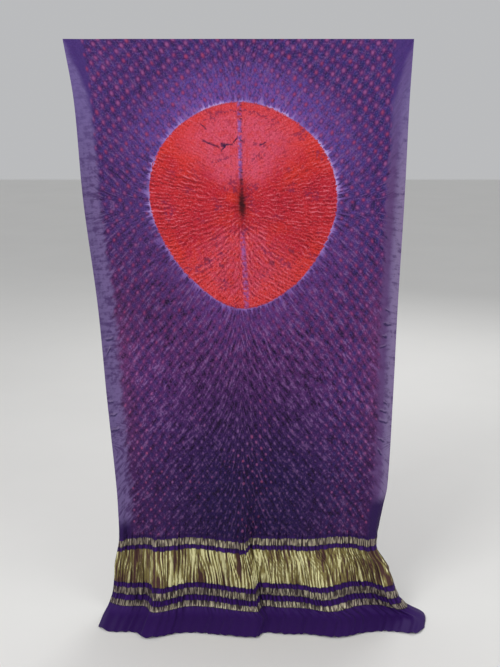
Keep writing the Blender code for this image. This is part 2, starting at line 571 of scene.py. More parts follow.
@dataclass
class Crinkles:
    """The relief that the tying leaves in the silk, and the fine gathers of the gold bands."""

    pitch: float = 0.0108
    octaves: int = 7
    disc_stroke: float = 0.042
    field_stroke: float = 0.032
    disc_height: float = 0.0009
    field_height: float = 0.0010
    dot_height: float = 0.0012
    dot_radius: float = 0.0045
    band_height: float = 0.0025
    upright: float = 0.92
    ripple: float = 0.0026
    field_ripple: float = 0.0006
    ripple_pitch: float = 0.026
    sharpness: float = 1.7
    straying: float = 7.5
    patch: float = 0.030
    wrinkle_breadth: float = 0.0045
    gather_start: float = 1.340
    band_start: float = 1.395
    gathers_end: tuple[float, float] = (1.645, 1.600)
    dots_end: tuple[float, float] = (1.385, 1.36)
    dots_side: tuple[float, float] = (0.905, 0.885)
    field_side: tuple[float, float] = (0.004, -0.010)
    disc_side: tuple[float, float] = (0.003, -0.003)
    peak_share: float = 0.6
    wrinkle_share: float = 400.0
    wrinkles: tuple[Wrinkle, ...] = (
        Wrinkle("left top", -0.943, 0.800, 0.017, -0.22, 0.0028, -20.0),
        Wrinkle("left top fork", -0.954, 0.832, 0.009, -1.50, 0.0016, 0.0, 0.0044),
        Wrinkle("left middle", -0.975, 0.982, 0.012, -0.10, 0.0014),
        Wrinkle("left lower", -0.964, 1.022, 0.016, -0.29, 0.0026, -8.0),
        Wrinkle("left low", -0.962, 1.067, 0.018, -0.35, 0.0034, -4.0, 0.0042),
        Wrinkle("right first", 0.931, 0.717, 0.009, 0.18, 0.0016),
        Wrinkle("right second", 0.934, 0.757, 0.016, 0.10, 0.0026),
        Wrinkle("right third", 0.919, 0.790, 0.010, 0.09, 0.0018),
        Wrinkle("right fourth", 0.909, 0.821, 0.013, -0.26, 0.0026, -10.0),
        Wrinkle("right fifth", 0.945, 0.987, 0.008, 0.67, 0.0016, 0.0),
        Wrinkle("right sixth", 0.933, 1.009, 0.016, 0.21, 0.0026, 6.0),
        Wrinkle("right seventh", 0.934, 1.041, 0.021, 0.35, 0.0034, -8.0, 0.0042),
        Wrinkle("right eighth", 0.927, 1.096, 0.015, 0.51, 0.0030, 0.0),
        Wrinkle("right last", 0.922, 1.133, 0.011, 1.10, 0.0028, 0.0, 0.0046),
    )

    def ridges(
        self, lines: tuple[Array, Array], reach: Array, wave: float, stroke: float, seed: int
    ) -> Array:
        """Ridges along a set of lines, which branch so that their pitch stays the same.

        Args:
            lines: The lines' label, and the distance over which it changes by 1.
            reach: The distance from the knot.
            wave: How far the ridges ripple.
            stroke: The length after which a ridge strays.
            seed: The first seed.

        Returns:
            Ridges at +1 and valleys at -1.
        """
        label, spread = lines
        sway, bend = Grain(seed), Grain(seed + 1)
        ripple = bend.at(label * spread / self.patch + 500, reach / self.ripple_pitch) - 0.5
        ripple = ripple + 0.5 * np.sin(TURN * reach / self.ripple_pitch)
        label = label + wave * ripple / (spread + 0.01)
        level = np.log2(np.maximum(spread / self.pitch, 1.0))
        along = reach / stroke
        total, power = 0.0, 1e-9
        for k in range(self.octaves):
            turns = label * 2**k
            drift = sway.at(turns / 3 + 300, along + 17 * k)
            share = ease(np.abs(level - k), 0.75, 0.25)
            crest = 0.5 + 0.5 * np.sin(TURN * turns + self.straying * drift)
            total = total + share * (2 * crest**self.sharpness - 1)
            power = power + share**2
        return total / np.sqrt(power)

    def tied_height(self, sides: Array, edge: Array, run: Array) -> Array:
        """How high the tied crinkles stand, in metres.

        Args:
            sides: 1 level with the knot, and 0 straight above or below it.
            edge: How far the place is outside the disc.
            run: Distance down the cloth.

        Returns:
            The height of a ridge above the cloth's middle.
        """
        inside = self.disc_height * (0.50 + 0.50 * sides)
        outside = self.field_height * (0.80 + 0.20 * ease(run, 0.1, 0.7))
        return inside + (outside - inside) * ease(edge, -0.01, 0.03)

    def band_ridges(self, across: Array, run: Array) -> Array:
        """The upright gathers at the cloth's lower end, which part and meet.

        Args:
            across: Place across the cloth, from -1 to +1.
            run: Distance down it.

        Returns:
            Ridges at +1 and valleys at -1.
        """
        sway, patch = Grain(21), Grain(25)
        slant = 0.5 * (patch.at(across * 5 + 50, run / 0.30) - 0.5) * (run - 1.49)
        place = across + slant
        lean = 2.2 * (sway.at(place * 22 + 60, run / 0.085) - 0.5)
        strong = 0.5 + 0.8 * patch.at(across * 11 + 300, run / 0.12)
        return 0.85 * np.sin(TURN * (place * 44 + lean)) * strong

    def margin_wrinkles(self, across: Array, run: Array, half_width: float) -> Array:
        """The short slanting creases in the two margins.

        Args:
            across: Place across the cloth, from -1 to +1.
            run: Distance down it.
            half_width: Half of the woven width.

        Returns:
            Their depth in metres.
        """
        depth = np.zeros(np.broadcast(across, run).shape)
        for w in self.wrinkles:
            side = (across - w.across) * half_width
            down = run - w.run - w.slant * side
            depth = depth + w.depth * hump(side, w.reach) * hump(down, self.wrinkle_breadth)
        return depth


# ---------------------------------------------------------------- the sheet
class Pattern(Enum):
    """Names of the coordinates that the sheet carries for its dye and for the painted light and shade on its
    relief.
    """

    FLAT = "cloth_flat"
    SPOKE = "spoke_line"
    LINES = "ridge_line"
    DOTS = "dot_count"
    RELIEF = "crinkle_relief"
    LEAN = "lean_and_pleat"


@dataclass
class ClothSheet:
    """The silk as one thin sheet, laid over the hang and crinkled."""

    hang: Hang
    disc: TiedDisc
    dots: Dots
    crinkles: Crinkles
    name: str = "crinkled_silk"
    columns: int = 268
    closer: float = 0.25
    joining_gap: float = 0.006
    stretches: tuple[Stretch, ...] = (
        Stretch("heading", 0.000, 14, 1),
        Stretch("disc", 0.130, 215, 1),
        Stretch("field", 0.720, 84, 1),
        Stretch("gold bands", 1.384, 18, 2),
        Stretch("turn", 1.630, 5, 2),
        Stretch("end on floor", 1.664, 5, 2),
    )

    def places_across(self, columns: int) -> Array:
        """Where the columns meet, from -1 to +1, a little closer together near the middle."""
        even = np.linspace(-1, 1, columns + 1)
        return even - self.closer * np.sin(math.pi * even) / math.pi

    def runs(self, parts: Sequence[Stretch], end: float) -> Array:
        """The levels at which rows meet.

        Args:
            parts: Neighbouring stretches.
            end: Where the last of them ends.

        Returns:
            Distances down the cloth.
        """
        ends = [part.run for part in parts[1:]] + [end]
        pieces = [np.linspace(p.run, e, p.rows, endpoint=False) for p, e in zip(parts, ends)]
        return np.concatenate([*pieces, [end]])

    def crinkle(self, across: Array, run: Array, x: Array) -> dict[str, Array]:
        """The relief and the dye's coordinates on a grid of cloth.

        Args:
            across: Places across, as a row.
            run: Distances down, as a column.
            x: The x of each place in the hanging plane.

        Returns:
            The height in metres, and the values kept on the mesh.
        """
        c, d, half = self.crinkles, self.disc, self.hang.width / 2
        side, up = x - d.middle_x, d.middle_run - run
        reach, edge = np.hypot(side, up) + 1e-6, d.edge_distance(x, run)
        in_lines, out_lines = d.disc_lines(side, up), d.field_lines(side, up)
        inside, sides = ease(edge, *c.disc_side), (side / reach) ** 2
        column, row = self.dots.grid(across, run, half)
        margin = (np.abs(across) - level_at(self.hang.margin_crease, run)) * half
        in_field = ease(margin, *c.field_side)
        in_bands = ease(run, c.gather_start, c.band_start) + 0 * x
        patches, hand = Grain(5), 400 + 200 * np.sign(side)
        strong = patches.at(x / c.patch + hand, run / c.patch)
        corner = ease(reach, *self.dots.corner_reach) * ease(run, *self.dots.corner_run)
        along = reach + 2 * np.sign(side)
        outer = c.ridges(out_lines, along, c.field_ripple, c.field_stroke, 3)
        outer = outer * (0.1 + 1.2 * strong) * (1 - 0.6 * corner)
        inner = c.ridges(in_lines, along, c.ripple, c.disc_stroke, 7) * (0.7 + 0.6 * strong)
        ridges = outer + (inner - outer) * inside
        tied = ridges * c.tied_height(sides, edge, run) * (0.12 + 0.88 * in_field) * (1 - in_bands)
        right, below = column - np.round(column), row - np.round(row)
        fall = below * self.dots.row_pitch + right * self.dots.steps(run)
        from_dot = np.hypot(right * self.dots.column_pitch, fall)
        dotted = ease(edge, 0.0, 0.02) * in_field * ease(run, *c.dots_end)
        peak = hump(from_dot, c.dot_radius) * dotted * ease(np.abs(across), *c.dots_side)
        plumb = c.upright * (1 - 0.6 * ease(np.abs(across), 0.70, 1.0)) * (x / half - across)
        pleat = across + plumb
        gathers = c.band_ridges(across + 0.45 * plumb, run)
        in_bands = in_bands * ease(run, *c.gathers_end)
        band = gathers * c.band_height * in_bands
        wrinkle = c.margin_wrinkles(across, run, half)
        height = tied + c.dot_height * peak + band - wrinkle
        calm = inside * (1 - sides) * ease(up, -0.02, 0.06)
        relief = ridges * (1 - 0.5 * calm) * ease(run, c.band_start, c.gather_start)
        relief = relief * (0.2 + 0.8 * in_field) + gathers * in_bands
        relief = relief + c.peak_share * peak - c.wrinkle_share * wrinkle
        spread = out_lines[1] + (in_lines[1] - out_lines[1]) * inside
        return {
            "height": height,
            Pattern.FLAT.value: np.stack([across * half + 0 * x, run + 0 * x], axis=2),
            Pattern.SPOKE.value: np.stack([side / reach, up / reach, reach], axis=2),
            Pattern.LINES.value: np.stack([in_lines[0], out_lines[0], spread], axis=2),
            Pattern.DOTS.value: np.stack([column, row, 0 * x], axis=2),
            Pattern.LEAN.value: np.stack([d.field_lean(side, up), pleat * half, 0 * x], axis=2),
            Pattern.RELIEF.value: np.stack([relief, edge, margin + 0 * x], axis=2),
        }

    def panel(self, across: Array, run: Array) -> tuple[Array, dict[str, Array]]:
        """One grid of the sheet, crinkled.

        Args:
            across: Places across the cloth.
            run: Distances down it.

        Returns:
            The grid's points, and the values kept on the mesh.
        """
        points, x = self.hang.lay(across, run)
        kept = self.crinkle(across[None, :], run[:, None], x)
        down, side = np.gradient(points, axis=0), np.gradient(points, axis=1)
        normal = np.cross(down, side)
        normal /= np.linalg.norm(normal, axis=2, keepdims=True)
        height = kept.pop("height")
        floor = -self.hang.floor_drop
        points = points + normal * height[:, :, None]
        points[:, :, 2] = np.maximum(points[:, :, 2], floor)
        return points, kept

    def build(self) -> bpy.types.Object:
        """Builds the mesh: an upper panel, and a lower one with twice its columns.

        Returns:
            The sheet, with its coordinates.
        """
        upper = [part for part in self.stretches if part.columns == 1]
        lower = [part for part in self.stretches if part.columns == 2]
        across, finer = self.places_across(self.columns), self.places_across(2 * self.columns)
        wide, fine = len(across), len(finer)
        upper_runs = self.runs(upper, lower[0].run - self.joining_gap)
        lower_runs = self.runs(lower, self.hang.length)
        top, top_kept = self.panel(across, upper_runs)
        low, low_kept = self.panel(finer, lower_runs)
        start = top.shape[0] * wide
        faces = quads(top.shape[0], wide, 0) + quads(low.shape[0], fine, start)
        faces += joining_row(start - wide, start, self.columns)
        mesh = bpy.data.meshes.new(self.name)
        points = np.concatenate([top.reshape(-1, 3), low.reshape(-1, 3)])
        mesh.from_pydata(points.tolist(), [], faces)
        kept = {k: np.concatenate([flat(top_kept[k]), flat(low_kept[k])]) for k in top_kept}
        self.keep_coordinates(mesh, kept)
        mesh.polygons.foreach_set("use_smooth", np.ones(len(mesh.polygons), bool))
        mesh.update()
        sheet = bpy.data.objects.new(self.name, mesh)
        bpy.context.scene.collection.objects.link(sheet)
        return sheet

    def keep_coordinates(self, mesh: bpy.types.Mesh, kept: dict[str, Array]) -> None:
        """Stores the dye's coordinates on the mesh, and a map that spreads the flat cloth over the whole
        square.

        Args:
            mesh: The sheet's mesh.
            kept: The values at its points, by name.
        """
        corner = np.zeros(len(mesh.loops), np.int32)
        mesh.loops.foreach_get("vertex_index", corner)
        place = kept.pop(Pattern.FLAT.value)
        share = place / (self.hang.width, self.hang.length)
        filled = np.stack([share[:, 0] + 0.5, 1 - share[:, 1]], axis=1)
        for name, values in ((Pattern.FLAT.value, place), ("OFBake", filled)):
            layer = mesh.uv_layers.new(name=name)
            layer.uv.foreach_set("vector", values[corner].astype(np.float32).ravel())
        for name, values in kept.items():
            stored = mesh.attributes.new(name, "FLOAT_VECTOR", "POINT")
            stored.data.foreach_set("vector", values.astype(np.float32).ravel())


def flat(values: Array) -> Array:
    """A grid's values as one list of places."""
    return values.reshape(-1, values.shape[2])


def quads(rows: int, columns: int, start: int) -> list[tuple[int, ...]]:
    """Four-sided faces over a grid of points, which face the front.

    Args:
        rows: Rows of points.
        columns: Points in a row.
        start: The first point's number.

    Returns:
        The faces.
    """
    numbers = start + np.arange(rows * columns).reshape(rows, columns)
    a, b = numbers[:-1, :-1], numbers[1:, :-1]
    c, d = numbers[1:, 1:], numbers[:-1, 1:]
    return [tuple(face) for face in np.stack([a, b, c, d], axis=2).reshape(-1, 4).tolist()]


def joining_row(upper: int, lower: int, columns: int) -> list[tuple[int, ...]]:
    """Triangles from a row of points to the next, which has twice as many columns.

    Args:
        upper: The upper row's first point.
        lower: The lower row's first point.
        columns: How many columns the upper row has.

    Returns:
        The faces.
    """
    faces = []
    for k in range(columns):
        a, b = upper + k, upper + k + 1
        c, d, e = lower + 2 * k, lower + 2 * k + 1, lower + 2 * k + 2
        faces += [(a, c, d), (a, d, b), (b, d, e)]
    return faces


# ---------------------------------------------------------------- shader nodes
def screen_to_linear(red: int, green: int, blue: int) -> Colour:
    """Turns a screen colour into the shader's linear one.

    Args:
        red: Its red, from 0 to 255.
        green: Its green.
        blue: Its blue.

    Returns:
        The three parts, from 0 to 1.
    """
    parts = [value / 255 for value in (red, green, blue)]
    lift = [p / 12.92 if p <= 0.04045 else ((p + 0.055) / 1.055) ** 2.4 for p in parts]
    return lift[0], lift[1], lift[2]


def new_material(name: str) -> tuple[bpy.types.Material, bpy.types.NodeTree, bpy.types.Node]:
    """Makes a material.

    Args:
        name: Its name.

    Returns:
        The material, its nodes and its shader.
    """
    material = bpy.data.materials.new(name)
    material.use_nodes = True
    return material, material.node_tree, material.node_tree.nodes["Principled BSDF"]


def feed(tree: bpy.types.NodeTree, socket: bpy.types.NodeSocket, value: Value) -> None:
    """Sets a node's input.

    Args:
        tree: The material's nodes.
        socket: The input.
        value: A signal, a number or a colour.
    """
    if isinstance(value, Signal):
        tree.links.new(value.socket, socket)
    else:
        socket.default_value = (*value, 1.0) if isinstance(value, tuple) else value


def add_node(
    tree: bpy.types.NodeTree, kind: str, *values: Value, output: int | str = 0, **settings: object
) -> Signal:
    """Adds a shader node.

    Args:
        tree: The material's nodes.
        kind: The kind of node.
        values: What its inputs are fed, in order; None leaves one as it is.
        output: Which output is wanted, by number or name.
        settings: The node's own settings.

    Returns:
        The output.
    """
    node = tree.nodes.new("ShaderNode" + kind)
    for name, setting in settings.items():
        setattr(node, name, setting)
    for socket, value in zip(node.inputs, values):
        if value is not None:
            feed(tree, socket, value)
    return Signal(tree, node.outputs[output])


class Signal:
    """What a socket gives at each place: a number, a vector or a colour. Sums on it add nodes."""

    def __init__(self, tree: bpy.types.NodeTree, socket: bpy.types.NodeSocket) -> None:
        """Keeps the socket and its node tree."""
        self.tree, self.socket = tree, socket

    def node(self, kind: str, *values: Value, output: int | str = 0, **settings: object) -> Signal:
        """Adds a node that has this signal as its first input."""
        return add_node(self.tree, kind, self, *values, output=output, **settings)

    def math(self, operation: str, *values: Value) -> Signal:
        """A Math node on this number and others."""
        return self.node("Math", *values, operation=operation)

    def __add__(self, other: Value) -> Signal:
        """The sum."""
        return self.math("ADD", other)

    def __sub__(self, other: Value) -> Signal:
        """The difference."""
        return self.math("SUBTRACT", other)

    def __mul__(self, other: Value) -> Signal:
        """The product."""
        return self.math("MULTIPLY", other)

    def __truediv__(self, other: Value) -> Signal:
        """The quotient."""
        return self.math("DIVIDE", other)

    def __abs__(self) -> Signal:
        """The size without the sign."""
        return self.math("ABSOLUTE")

    def ease(self, low: float, high: float, start: float = 0.0, end: float = 1.0) -> Signal:
        """A smooth change while this number goes from one value to another.

        Args:
            low: Where the change starts.
            high: Where it ends; it may be less than low.
            start: What it gives at the start and before it.
            end: What it gives at the end and after it.

        Returns:
            The changing number.
        """
        ends = (high, low, end, start) if low > high else (low, high, start, end)
        return self.node("MapRange", *ends, interpolation_type="SMOOTHSTEP")

    def pick(self, none: float, whole: float) -> Signal:
        """One number where this share is 0, and another where it is 1."""
        return self.ease(0.0, 1.0, none, whole)

    def ramp(self, low: float, high: float, start: float, end: float) -> Signal:
        """A straight change between two values, level beyond them."""
        return self.node("MapRange", low, high, start, end)

    def blend(self, under: Value, over: Value) -> Signal:
        """Lays one colour over another by this share."""
        unused = (None,) * 5
        return self.node("Mix", *unused, under, over, output=2, data_type="RGBA", clamp_factor=True)

    def shade(self, factor: Value) -> Signal:
        """This colour, darker or lighter by a factor."""
        return self.node("VectorMath", None, None, factor, operation="SCALE")

    def join(self, y: Value, z: Value = 0.0) -> Signal:
        """This number and two more as one vector."""
        return self.node("CombineXYZ", y, z)

    def split(self) -> tuple[Signal, ...]:
        """The three numbers of this vector."""
        outputs = self.node("SeparateXYZ").socket.node.outputs
        return tuple(Signal(self.tree, socket) for socket in outputs)

    def noise(self, scale: float, detail: float = 1.0, rough: float = 0.5) -> Signal:
        """Cloudy unevenness from 0 to 1, read at this vector."""
        return self.node("TexNoise", None, scale, detail, rough)

    def bump(self, distance: float, under: Signal | None = None) -> Signal:
        """A surface on which this height stands proud by a distance."""
        return add_node(self.tree, "Bump", None, distance, None, self, under)


Value = Union[Signal, float, Colour, None]
Layer = tuple[Signal, Union[Signal, Colour]]


def carried(tree: bpy.types.NodeTree, pattern: Pattern) -> tuple[Signal, ...]:
    """The numbers that the sheet carries under one name.

    Args:
        tree: The material's nodes.
        pattern: The name.

    Returns:
        Three numbers.
    """
    if pattern is Pattern.FLAT:
        return add_node(tree, "UVMap", uv_map=pattern.value).split()
    return add_node(tree, "Attribute", output="Vector", attribute_name=pattern.value).split()


def layered(colour: Signal, *layers: Layer) -> Signal:
    """Lays colours over one another.

    Args:
        colour: The undermost.
        layers: The others in order, each after its own share.

    Returns:
        The colour on top.
    """
    for share, over in layers:
        colour = share.blend(colour, over)
    return colour


# ---------------------------------------------------------------- places on the cloth
@dataclass(frozen=True)
class Strokes:
    """The fine strokes along the ridge lines, and how far they pull the dye's edges about."""

    pitch: float = 0.0042
    disc_length: float = 0.019
    field_length: float = 0.029
    fewest: int = 2
    octaves: int = 6
    sides_apart: float = 5.3
    disc_edge: float = 0.016
    knot_edge: float = 0.016
    halo_edge: float = 0.7
    stain_line: float = 0.010
    wrinkle_line: float = 0.012


class Place:
    """What the dye and its painted light and shade depend on at each place: coordinates, masks, strokes and
    dots.
    """

    def __init__(self, tree: bpy.types.NodeTree, dots: Dots, strokes: Strokes) -> None:
        """Reads the sheet's coordinates, and adds the nodes that the whole dye and its painted shading share.

        Args:
            tree: The material's nodes.
            dots: The dots' sizes.
            strokes: The strokes' sizes.
        """
        self.across, self.down, _ = carried(tree, Pattern.FLAT)
        self.side, self.up, self.reach = carried(tree, Pattern.SPOKE)
        self.relief, self.rim, self.margin = carried(tree, Pattern.RELIEF)
        self.lean, self.pleat, _ = carried(tree, Pattern.LEAN)
        self.lines, self.counts = carried(tree, Pattern.LINES), carried(tree, Pattern.DOTS)
        self.flat = self.across.join(self.down)
        self.away, self.upright = abs(self.across), abs(self.up)
        self.streak = self.streaks(strokes) - 0.5
        self.edge = self.rim + self.streak * strokes.disc_edge
        self.lift = self.lifted()
        self.crease = self.across - self.down.ease(0.40, 0.80, -0.0060, 0.0)
        self.corner = self.reach.ease(*dots.corner_reach) * self.down.ease(*dots.corner_run)
        self.low = self.down.ease(0.66, 1.00)
        self.below = self.up.ease(0.0, -0.6)
        self.dashes = self.cloud(100.0, 2.0, 0.6, 0.7)
        self.stain_sway = self.streak * strokes.stain_line
        self.wrinkle_sway = (self.cloud(70.0) - 0.5) * strokes.wrinkle_line
        self.count_dots(dots)

    def cloud(self, scale: float, detail: float = 1.0, rough: float = 0.5, wide: float = 1.0) -> Signal:
        """Cloudy unevenness from 0 to 1 on the flat cloth, squeezed sideways by a factor."""
        spot = self.flat if wide == 1.0 else (self.across * wide).join(self.down)
        return spot.noise(scale, detail, rough)

    def streaks(self, strokes: Strokes) -> Signal:
        """Fine strokes along the ridge lines, which branch as the ridges do.

        Args:
            strokes: Their sizes.

        Returns:
            Values from 0 to 1.
        """
        inner, outer, spread = self.lines
        within = self.rim.math("LESS_THAN", 0.0)
        label = outer + (inner - outer) * within
        level = (spread * (1 / strokes.pitch / strokes.fewest)).math("LOGARITHM", 2.0)
        turns = 1 / strokes.disc_length, 1 / strokes.field_length
        along = self.reach * (within * (turns[0] - turns[1]) + turns[1])
        hand = self.side.math("SIGN") * strokes.sides_apart
        value = None
        for k in range(strokes.octaves):
            stroke = (label * (strokes.fewest * 2**k)).join(along, hand).noise(1.0, 2.0)
            value = stroke if value is None else value + (stroke - value) * level.ease(k - 0.7, k - 0.3)
        return value

    def lifted(self) -> Signal:
        """How high each place lies in the fine crinkles.

        Returns:
            About 0 in a valley and 1 on a ridge.
        """
        within = self.rim.ease(0.002, -0.002)
        strokes = self.streak * within.pick(1.42, 0.85)
        pebbles = (self.cloud(115.0, wide=1.7) - 0.5) * self.upright.ease(0.60, 0.95) * within.pick(0.35, 0.9)
        grain = (self.cloud(210.0) - 0.5) * 0.4
        height = self.relief * within.pick(0.11, 0.19) + strokes + pebbles + grain
        height = height * (within * self.up.ease(-0.35, -0.90)).pick(1.0, 0.82)
        return height * (within * self.up.ease(0.25, 0.85)).pick(1.0, 0.72) + 0.5

    def count_dots(self, dots: Dots) -> None:
        """Adds how far each place is from the nearest dot, and the cells between the dots.

        Args:
            dots: The dots' sizes.
        """
        column, row, _ = self.counts
        level, slanting = (row * math.pi).math("SINE"), ((column + row) * math.pi).math("SINE")
        self.cell = level * level * slanting * slanting
        whole = column.math("ROUND"), row.math("ROUND")
        self.chance, self.chance2, _ = whole[0].join(whole[1]).node("TexWhiteNoise", output="Color").split()
        off = column - whole[0]
        fall = (row - whole[1]) * dots.row_pitch
        fall = fall + off * self.down.ramp(dots.step_start, dots.step_end, dots.upper_step, dots.lower_step)
        fall = fall + (self.chance - 0.5) * dots.stray_down
        off = off * dots.column_pitch + (self.chance2 - 0.5) * dots.stray_across
        off = off * self.across.math("SIGN")
        rise = (self.lean * self.lean * -1.0 + 1.0).math("SQRT")
        along = off * self.lean - fall * rise
        stretch = self.down.ease(0.45, 0.95, -0.30, -0.74) * self.down.ease(1.00, 1.20, 1.0, 0.30)
        drawn = along * along * stretch + (off * off + fall * fall)
        self.dot = drawn.math("MAXIMUM", 0.0).math("SQRT")

    def off_line(self, mark: Stain | Wrinkle, across: float, sway: Signal) -> tuple[Signal, Signal]:
        """Where each place lies beside a mark.

        Args:
            mark: The mark.
            across: Its middle on the flat cloth.
            sway: How far its line strays.

        Returns:
            How far the place is right of the mark's middle, and how far below its bent line.
        """
        right = self.across - across
        return right, self.down - mark.run - right * mark.slant - right * right * mark.bend + sway

    def mark(self, stain: Stain) -> Signal:
        """How strongly one mark in the disc shows.

        Args:
            stain: The mark.

        Returns:
            The share, from 0 to 1.
        """
        right, off = self.off_line(stain, stain.across, self.stain_sway)
        thin = abs(off).ease(stain.breadth, stain.breadth * 0.3)
        return thin * abs(right).ease(stain.reach, stain.reach * 0.6)

    def grit(self, dark: Colour, pale: Colour, share: Value) -> list[Layer]:
        """Fine grit of dark and pale grains, painted shade and highlight on the fine crinkles.

        Args:
            dark: The colour of its dark grains.
            pale: The colour of its pale ones.
            share: How strongly they show.

        Returns:
            The layer of dark grains and that of pale ones.
        """
        grain = self.cloud(215.0, 2.0, 0.6)
        return [(grain.ease(0.47, 0.32) * share, dark), (grain.ease(0.53, 0.68) * share, pale)]


# ---------------------------------------------------------------- finishes
@dataclass(frozen=True)
class SilkDyesAndShading:
    """The colours of the dyed silk, with the painted highlight and shade colours of its crinkles, margins,
    creases and plain end.
    """

    violet: Colour = screen_to_linear(76, 39, 108)
    plum: Colour = screen_to_linear(86, 38, 97)
    deep: Colour = screen_to_linear(42, 22, 84)
    violet_ridge_highlight: Colour = screen_to_linear(130, 91, 147)
    violet_dark_and_valley_shade: Colour = screen_to_linear(28, 8, 46)
    navy: Colour = screen_to_linear(50, 44, 110)
    glow: Colour = screen_to_linear(122, 74, 158)
    glow_blue: Colour = screen_to_linear(82, 66, 150)
    halo: Colour = screen_to_linear(150, 112, 198)
    halo_core: Colour = screen_to_linear(196, 172, 226)
    dot_ring: Colour = screen_to_linear(102, 34, 98)
    dot_red: Colour = screen_to_linear(164, 66, 108)
    dot_pink: Colour = screen_to_linear(154, 84, 142)
    dot_pale: Colour = screen_to_linear(130, 90, 148)
    side_mauve: Colour = screen_to_linear(98, 50, 96)
    side_plain: Colour = screen_to_linear(72, 48, 118)
    red: Colour = screen_to_linear(184, 31, 49)
    orange_red: Colour = screen_to_linear(208, 49, 40)
    red_ridge_highlight: Colour = screen_to_linear(229, 112, 128)
    red_valley_shade: Colour = screen_to_linear(116, 10, 28)
    rose: Colour = screen_to_linear(208, 76, 102)
    blotch: Colour = screen_to_linear(116, 38, 78)
    ink: Colour = screen_to_linear(34, 20, 62)
    knot: Colour = screen_to_linear(52, 12, 20)
    margin: Colour = screen_to_linear(110, 92, 140)
    margin_shade: Colour = screen_to_linear(74, 54, 102)
    margin_inner: Colour = screen_to_linear(94, 62, 114)
    margin_sheen: Colour = screen_to_linear(132, 114, 154)
    margin_edge: Colour = screen_to_linear(94, 78, 122)
    margin_top_sheen: Colour = screen_to_linear(104, 88, 146)
    plain_violet: Colour = screen_to_linear(58, 24, 104)
    plain_valley_shade: Colour = screen_to_linear(34, 14, 62)
    waist: Colour = screen_to_linear(44, 22, 76)
    crease_shade: Colour = screen_to_linear(48, 34, 80)


@dataclass(frozen=True)
class GoldWeave:
    """The colours of the metal-thread bands: the bright gold is a painted highlight, and the dull gold is the
    darker violet-brown between the threads, partly painted shade.
    """

    bright: Colour = screen_to_linear(246, 242, 186)
    middle: Colour = screen_to_linear(142, 130, 80)
    dull: Colour = screen_to_linear(90, 62, 62)
    pale: Colour = screen_to_linear(196, 186, 172)
    tick: Colour = screen_to_linear(48, 32, 48)
    edge: Colour = screen_to_linear(30, 14, 42)


@dataclass(frozen=True)
class Surface:
    """How the silk and the metal thread shine, and how far their fine relief stands out."""

    metallic: float = 0.65
    silk_rough: float = 0.62
    gold_rough: float = 0.40
    specular: float = 0.14
    sheen: float = 0.04
    sheen_rough: float = 0.4
    weave_scale: float = 900.0
    weave_depth: float = 0.0004
    stroke_depth: float = 0.0020
    thread_depth: float = 0.0030
    dot_depth: float = 0.0012


